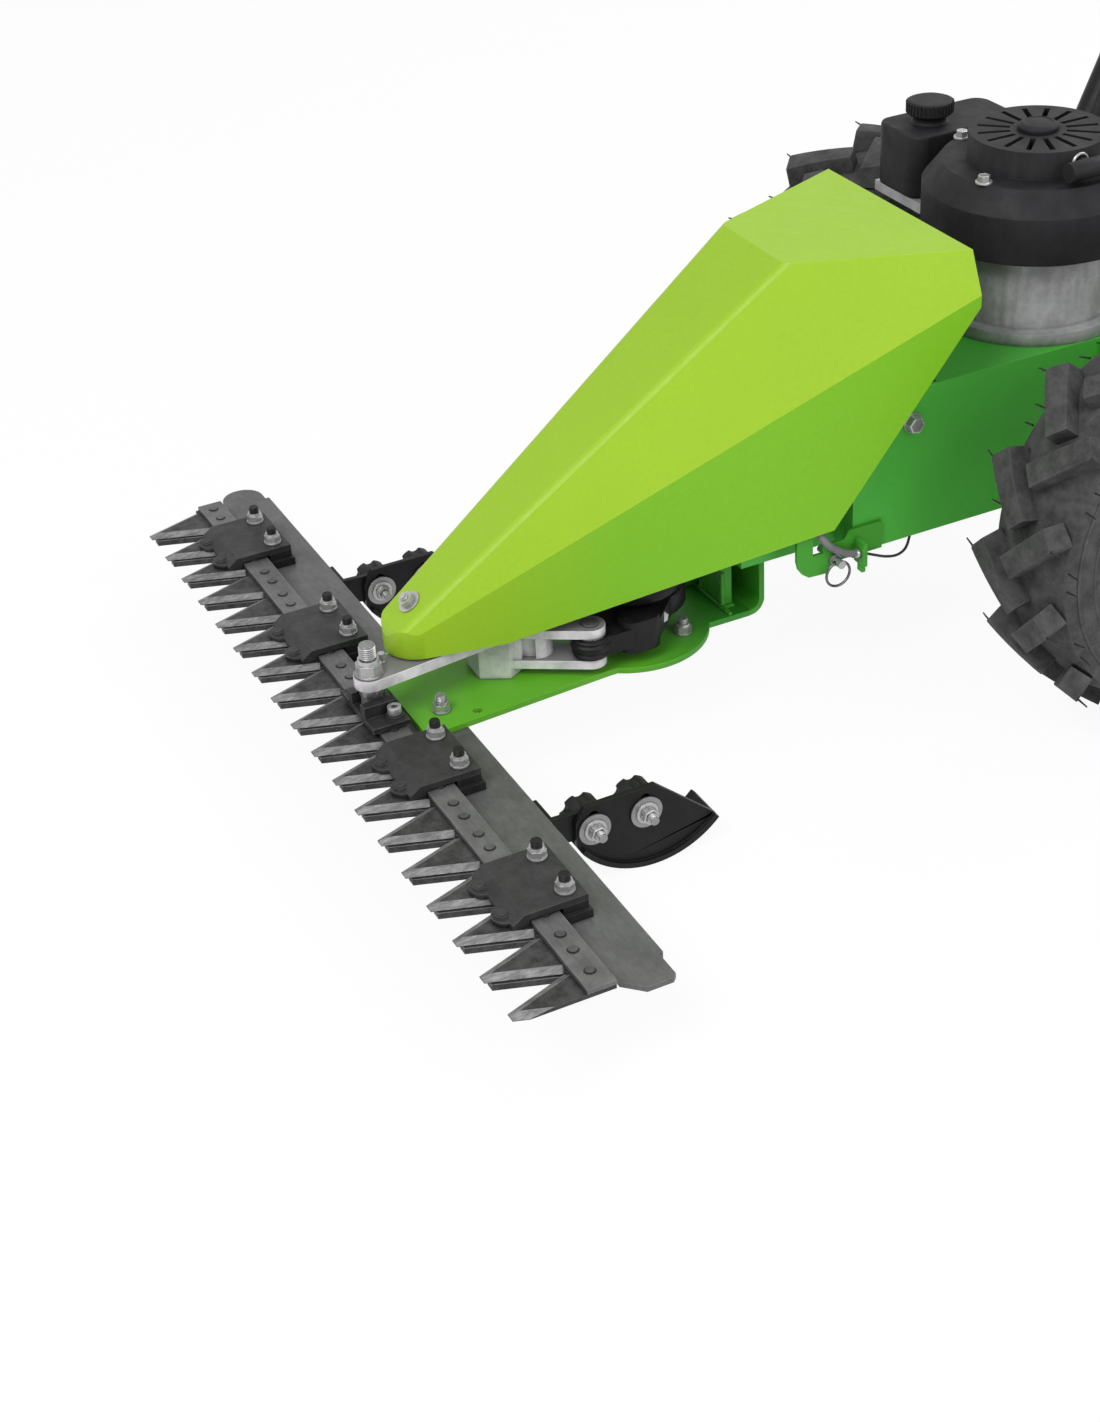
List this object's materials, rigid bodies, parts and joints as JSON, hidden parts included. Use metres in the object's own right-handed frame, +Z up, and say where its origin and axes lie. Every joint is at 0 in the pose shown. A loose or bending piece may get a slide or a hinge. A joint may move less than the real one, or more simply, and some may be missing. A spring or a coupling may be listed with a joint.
{
  "type": "sickle bar mower",
  "caption": "Walk-behind sickle bar mower: reciprocating toothed cutter bar on skids, rocker drive under a folded hood, two lugged wheels, engine and handlebar.",
  "frame": {"origin": "on the ground under the middle of the machine", "axes": "+X along the cutter bar, +Y from the tooth tips to the handles, +Z up"},
  "size_m": [0.9399, 1.48, 0.922],
  "materials": {
    "bar_steel": "satin grey steel with mill scale",
    "knife_steel": "dark hardened steel with bright ground bevels",
    "black_steel": "black phosphate and paint",
    "zinc": "bright zinc plating",
    "deck_green": "gloss green paint",
    "hood_green": "gloss yellow-green paint",
    "dark_green": "gloss dark green paint",
    "alloy": "sand cast aluminium",
    "cast_black": "black painted casting",
    "bronze": "plain bearing bronze",
    "black_plastic": "moulded black plastic",
    "red_plastic": "moulded red plastic",
    "cable_sheath": "grey cable sheath",
    "rim_paint": "off-white paint",
    "tyre": "black tread rubber",
    "rubber": "black rubber"
  },
  "bodies": {
    "frame": {"bar_plate": "bar_steel", "lower_comb": "knife_steel", "clip_spacers": "black_steel", "clip_plates": "knife_steel", "clip_bolts": "black_steel", "clip_nuts": "zinc", "deck_plate": "deck_green", "deck_bolts": "zinc", "coupling_bracket": "deck_green", "pivot_post": "bar_steel", "hood_stay": "black_steel", "bearing_housing": "cast_black", "skid_brackets": "black_steel", "skid_knobs": "black_plastic", "skid_bolts": "zinc", "hood": "hood_green", "hood_bolts": "zinc", "chassis": "dark_green", "lock_bracket": "deck_green", "lock_cable": "cable_sheath", "gearbox": "alloy", "engine_block": "alloy", "engine_cowl": "black_plastic", "knife_belt": "rubber", "fuel_tank": "black_plastic", "muffler": "bar_steel", "air_filter": "black_plastic", "handle_brackets": "dark_green"},
    "knife": {"knife_sections": "knife_steel", "knife_back": "knife_steel", "knife_rivets": "knife_steel", "knife_head": "black_steel", "knife_head_screws": "zinc"},
    "rocker": {"rocker_arm": "alloy", "pivot_bush": "bronze", "drive_stud": "zinc", "drive_nut": "zinc", "drive_roller": "bar_steel", "clevis_pin": "bar_steel", "fork_washers": "zinc"},
    "rod": {"drive_rod": "cast_black", "rod_bearing": "bar_steel", "crank_pin": "bar_steel"},
    "crank": {"crank_wheel": "cast_black", "knife_pulley": "bar_steel"},
    "engine_rotor": {"engine_shaft": "bar_steel"},
    "left_skid": {"skid_left": "black_steel"},
    "right_skid": {"skid_right": "black_steel"},
    "coupling_pin": {"lock_pin": "zinc"},
    "pull_ring": {"lock_ring": "zinc"},
    "left_wheel": {"left_rim": "rim_paint", "left_tyre": "tyre"},
    "right_wheel": {"right_rim": "rim_paint", "right_tyre": "tyre"},
    "starter": {"starter_grip": "black_plastic"},
    "handle": {"handlebar": "black_steel", "grips": "rubber"},
    "blade_clutch": {"knife_lever": "red_plastic"},
    "wheel_clutch": {"drive_lever": "black_plastic"},
    "throttle": {"throttle_lever": "black_plastic"}
  },
  "joints": [
    {"name": "rocker_swing", "type": "hinge", "parent": "frame", "child": "rocker", "pos_m": [0, -0.535, 0.1], "axis": [0, 0, 1], "range_deg": [-21.3, 0]},
    {"name": "knife_stroke", "type": "slide", "parent": "frame", "child": "knife", "axis": [1, 0, 0], "range_m": [-0.0508, 0]},
    {"name": "rod_swing", "type": "hinge", "parent": "rocker", "child": "rod", "pos_m": [0.054, -0.464, 0.11], "axis": [0, 0, 1], "range_deg": [0, 22.4]},
    {"name": "engine_spin", "type": "hinge", "parent": "frame", "child": "engine_rotor", "pos_m": [0, 0.045, 0.24], "axis": [0, 0, 1], "continuous": true},
    {"name": "crank_spin", "type": "hinge", "parent": "frame", "child": "crank", "pos_m": [0, -0.395, 0.2], "axis": [0, 0, 1], "continuous": true},
    {"name": "left_skid_height", "type": "slide", "parent": "frame", "child": "left_skid", "axis": [0, 0, 1], "range_m": [-0.014, 0]},
    {"name": "right_skid_height", "type": "slide", "parent": "frame", "child": "right_skid", "axis": [0, 0, 1], "range_m": [-0.014, 0]},
    {"name": "coupling_pin_pull", "type": "slide", "parent": "frame", "child": "coupling_pin", "axis": [1, 0, 0], "range_m": [0, 0.02], "stiffness_N_per_m": 300},
    {"name": "pull_ring_swing", "type": "hinge", "parent": "coupling_pin", "child": "pull_ring", "pos_m": [0.106, -0.232, 0.154], "axis": [0, 1, 0], "range_deg": [-75, 5]},
    {"name": "left_wheel_spin", "type": "hinge", "parent": "frame", "child": "left_wheel", "pos_m": [0.25, 0.045, 0.197], "axis": [1, 0, 0], "continuous": true},
    {"name": "right_wheel_spin", "type": "hinge", "parent": "frame", "child": "right_wheel", "pos_m": [-0.25, 0.045, 0.197], "axis": [1, 0, 0], "continuous": true},
    {"name": "starter_pull", "type": "slide", "parent": "frame", "child": "starter", "axis": [1, 0, 0], "range_m": [0, 0.45], "stiffness_N_per_m": 15},
    {"name": "handle_height", "type": "hinge", "parent": "frame", "child": "handle", "pos_m": [0, 0.165, 0.33], "axis": [1, 0, 0], "range_deg": [-8, 12]},
    {"name": "blade_clutch_squeeze", "type": "hinge", "parent": "handle", "child": "blade_clutch", "pos_m": [-0.235, 0.57, 0.848], "axis": [1, 0, 0], "range_deg": [0, 12], "stiffness_Nm_per_rad": 1},
    {"name": "wheel_clutch_squeeze", "type": "hinge", "parent": "handle", "child": "wheel_clutch", "pos_m": [0.235, 0.57, 0.848], "axis": [1, 0, 0], "range_deg": [0, 12], "stiffness_Nm_per_rad": 1},
    {"name": "throttle_set", "type": "hinge", "parent": "handle", "child": "throttle", "pos_m": [-0.205, 0.595, 0.87], "axis": [1, 0, 0], "range_deg": [-30, 30]}
  ],
  "couplings": [
    {"joint": "knife_stroke", "follows": "rocker_swing", "m_per_rad": 0.13664},
    {"joint": "rod_swing", "follows": "rocker_swing", "ratio": -1.05},
    {"joint": "crank_spin", "follows": "engine_spin", "ratio": 0.63636}
  ]
}
